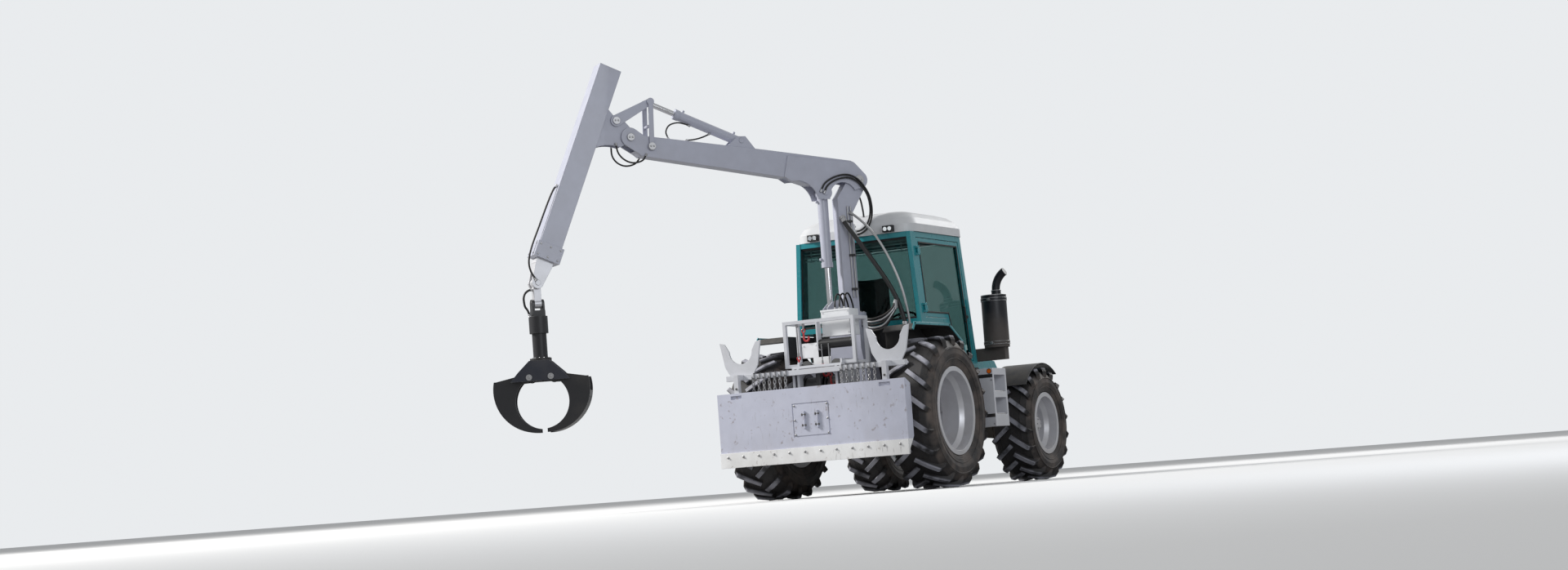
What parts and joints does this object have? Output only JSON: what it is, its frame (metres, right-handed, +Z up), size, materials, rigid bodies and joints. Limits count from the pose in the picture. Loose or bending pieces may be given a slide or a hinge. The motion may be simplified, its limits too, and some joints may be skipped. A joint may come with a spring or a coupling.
{
  "type": "forestry crane tractor",
  "caption": "Wheeled forestry tractor with a knuckle-boom crane and timber grapple behind the cab, a rear winch tower, log cradles and a rear blade.",
  "frame": {"origin": "on the floor under the middle of the whole outline", "axes": "+X to the machine's right, +Y forward, +Z up"},
  "size_m": [4.1991, 6.9226, 5.0702],
  "materials": {
    "grey_paint": "semi-gloss",
    "teal_paint": "semi-gloss",
    "black_paint": "satin",
    "chassis_paint": "dusty satin",
    "roof_white": "gloss",
    "box_white": "semi-gloss",
    "rim_silver": "semi-gloss",
    "tyre_rubber": "dusty",
    "window_glass": "clear",
    "rod_chrome": "polished",
    "chain_steel": "worn",
    "engine_iron": "matt",
    "trim_plastic": "matt",
    "lamp_lens": "clear"
  },
  "bodies": {
    "chassis": {"main_frame": "chassis_paint", "rear_axle": "chassis_paint", "front_axle": "chassis_paint", "engine_block": "engine_iron", "rear_tower": "grey_paint", "winch": "black_paint", "valve_box": "box_white", "crane_base": "grey_paint", "rear_fenders": "trim_plastic", "fuel_tank": "grey_paint", "battery_box": "grey_paint", "exhaust": "black_paint", "cab_tub": "trim_plastic", "cab_frame": "teal_paint", "cab_glass": "window_glass", "cab_roof": "roof_white", "cab_seat": "trim_plastic", "cab_console": "trim_plastic", "work_lamps": "lamp_lens", "blade_barrel": "black_paint"},
    "door_left": {"door_left": "teal_paint", "door_glass_left": "window_glass"},
    "door_right": {"door_right": "teal_paint", "door_glass_right": "window_glass"},
    "hood": {"hood": "teal_paint", "hood_grille": "trim_plastic"},
    "knuckle_left": {"knuckle_left": "black_paint"},
    "knuckle_right": {"knuckle_right": "black_paint"},
    "wheel_rear_left": {"rim_rear_left": "rim_silver", "tyre_rear_left": "tyre_rubber"},
    "wheel_rear_right": {"rim_rear_right": "rim_silver", "tyre_rear_right": "tyre_rubber"},
    "wheel_front_left": {"rim_front_left": "rim_silver", "tyre_front_left": "tyre_rubber"},
    "wheel_front_right": {"rim_front_right": "rim_silver", "tyre_front_right": "tyre_rubber"},
    "blade": {"blade": "grey_paint", "log_cradles": "grey_paint", "choker_chains": "chain_steel", "blade_rod": "rod_chrome"},
    "column": {"column": "grey_paint"},
    "boom": {"boom": "grey_paint"},
    "lift_barrel": {"lift_barrel": "grey_paint"},
    "lift_rod": {"lift_rod": "rod_chrome"},
    "rocker": {"rocker": "grey_paint"},
    "fold_barrel": {"fold_barrel": "grey_paint"},
    "fold_rod": {"fold_rod": "rod_chrome"},
    "stick": {"stick": "grey_paint"},
    "link": {"link": "grey_paint"},
    "extension": {"extension": "rim_silver"},
    "hanger": {"hanger": "rim_silver", "grapple_hose": "black_paint"},
    "cross_link": {"cross_link": "black_paint"},
    "rotator": {"rotator": "black_paint"},
    "jaw_left": {"jaw_left": "black_paint"},
    "jaw_right": {"jaw_right": "black_paint"}
  },
  "joints": [
    {"name": "steer_right", "type": "hinge", "parent": "chassis", "child": "knuckle_right", "pos_m": [1.461, 2.571, 0.7], "axis": [0, 0, 1], "range_deg": [-35, 35]},
    {"name": "steer_left", "type": "hinge", "parent": "chassis", "child": "knuckle_left", "pos_m": [0.081, 2.571, 0.7], "axis": [0, 0, 1], "range_deg": [-35, 35]},
    {"name": "roll_rear_right", "type": "hinge", "parent": "chassis", "child": "wheel_rear_right", "pos_m": [1.801, -0.179, 0.875], "axis": [1, 0, 0], "continuous": true},
    {"name": "roll_rear_left", "type": "hinge", "parent": "chassis", "child": "wheel_rear_left", "pos_m": [-0.259, -0.179, 0.875], "axis": [1, 0, 0], "continuous": true},
    {"name": "roll_front_right", "type": "hinge", "parent": "knuckle_right", "child": "wheel_front_right", "pos_m": [1.801, 2.571, 0.7], "axis": [1, 0, 0], "continuous": true},
    {"name": "roll_front_left", "type": "hinge", "parent": "knuckle_left", "child": "wheel_front_left", "pos_m": [-0.259, 2.571, 0.7], "axis": [1, 0, 0], "continuous": true},
    {"name": "door_right_swing", "type": "hinge", "parent": "chassis", "child": "door_right", "pos_m": [1.60897, 0.196, 2.0011], "axis": [-0.061, 0, 0.9981], "range_deg": [-80, 0]},
    {"name": "door_left_swing", "type": "hinge", "parent": "chassis", "child": "door_left", "pos_m": [-0.06697, 0.196, 2.0011], "axis": [-0.061, 0, -0.9981], "range_deg": [-80, 0]},
    {"name": "hood_lift", "type": "hinge", "parent": "chassis", "child": "hood", "pos_m": [0.771, 1.671, 1.65], "axis": [1, 0, 0], "range_deg": [0, 55]},
    {"name": "blade_lower", "type": "slide", "parent": "chassis", "child": "blade", "axis": [0, 0, -1], "range_m": [-0.1, 0.4]},
    {"name": "slew", "type": "hinge", "parent": "chassis", "child": "column", "pos_m": [0.771, -0.129, 2.08], "axis": [0, 0, 1], "range_deg": [-67, 143]},
    {"name": "lift", "type": "hinge", "parent": "column", "child": "boom", "pos_m": [0.89413, 0.0286, 3.69], "axis": [-0.788, 0.6157, 0], "range_deg": [-20, 55]},
    {"name": "lift_barrel_swing", "type": "hinge", "parent": "boom", "child": "lift_barrel", "pos_m": [0.61708, -0.326, 3.55], "axis": [-0.788, 0.6157, 0], "range_deg": [-56, 21]},
    {"name": "lift_rod_slide", "type": "slide", "parent": "lift_barrel", "child": "lift_rod", "axis": [0, 0, -1], "range_m": [-0.16, 0.43]},
    {"name": "fold", "type": "hinge", "parent": "boom", "child": "stick", "pos_m": [-0.84142, -2.1928, 4.224], "axis": [0.788, -0.6157, 0], "range_deg": [-50, 45]},
    {"name": "rocker_swing", "type": "hinge", "parent": "boom", "child": "rocker", "pos_m": [-0.6912, -2.00053, 4.115], "axis": [0.788, -0.6157, 0], "range_deg": [-26, 38]},
    {"name": "fold_barrel_swing", "type": "hinge", "parent": "boom", "child": "fold_barrel", "pos_m": [-0.0035, -1.12032, 4.176], "axis": [0.788, -0.6157, 0], "range_deg": [-4, 6]},
    {"name": "fold_rod_slide", "type": "slide", "parent": "fold_barrel", "child": "fold_rod", "axis": [-0.5689, -0.7281, 0.3824], "range_m": [-0.21, 0.31]},
    {"name": "link_swing", "type": "hinge", "parent": "stick", "child": "link", "pos_m": [-0.93685, -2.31494, 4.416], "axis": [0.788, -0.6157, 0], "range_deg": [-43, 29]},
    {"name": "extend", "type": "slide", "parent": "stick", "child": "extension", "axis": [-0.2397, -0.3068, -0.9211], "range_m": [0, 1.2]},
    {"name": "grapple_swing", "type": "hinge", "parent": "extension", "child": "hanger", "pos_m": [-1.58339, -3.14249, 2.60852], "axis": [0.788, -0.6157, 0], "range_deg": [-76, 51]},
    {"name": "grapple_sway", "type": "hinge", "parent": "hanger", "child": "cross_link", "pos_m": [-1.58339, -3.14249, 2.37852], "axis": [-0.6157, -0.788, 0], "range_deg": [-30, 30]},
    {"name": "rotate", "type": "hinge", "parent": "cross_link", "child": "rotator", "pos_m": [-1.58339, -3.14249, 2.04852], "axis": [0, 0, 1], "continuous": true},
    {"name": "jaw_right_open", "type": "hinge", "parent": "rotator", "child": "jaw_right", "pos_m": [-1.69031, -3.19697, 1.56], "axis": [-0.454, 0.891, 0], "range_deg": [-3, 55]},
    {"name": "jaw_left_open", "type": "hinge", "parent": "rotator", "child": "jaw_left", "pos_m": [-1.47647, -3.08801, 1.56], "axis": [0.454, -0.891, 0], "range_deg": [-3, 55]}
  ],
  "couplings": [
    {"joint": "steer_left", "follows": "steer_right", "ratio": 1},
    {"joint": "lift_barrel_swing", "follows": "lift", "ratio": -1},
    {"joint": "lift_rod_slide", "follows": "lift", "m_per_rad": 0.43545},
    {"joint": "rocker_swing", "follows": "fold", "ratio": 0.5},
    {"joint": "fold_barrel_swing", "follows": "fold", "ratio": 0.07},
    {"joint": "fold_rod_slide", "follows": "fold", "m_per_rad": 0.2309},
    {"joint": "link_swing", "follows": "fold", "ratio": -0.567},
    {"joint": "grapple_swing", "follows": "fold", "ratio": -1},
    {"joint": "jaw_left_open", "follows": "jaw_right_open", "ratio": 1}
  ]
}
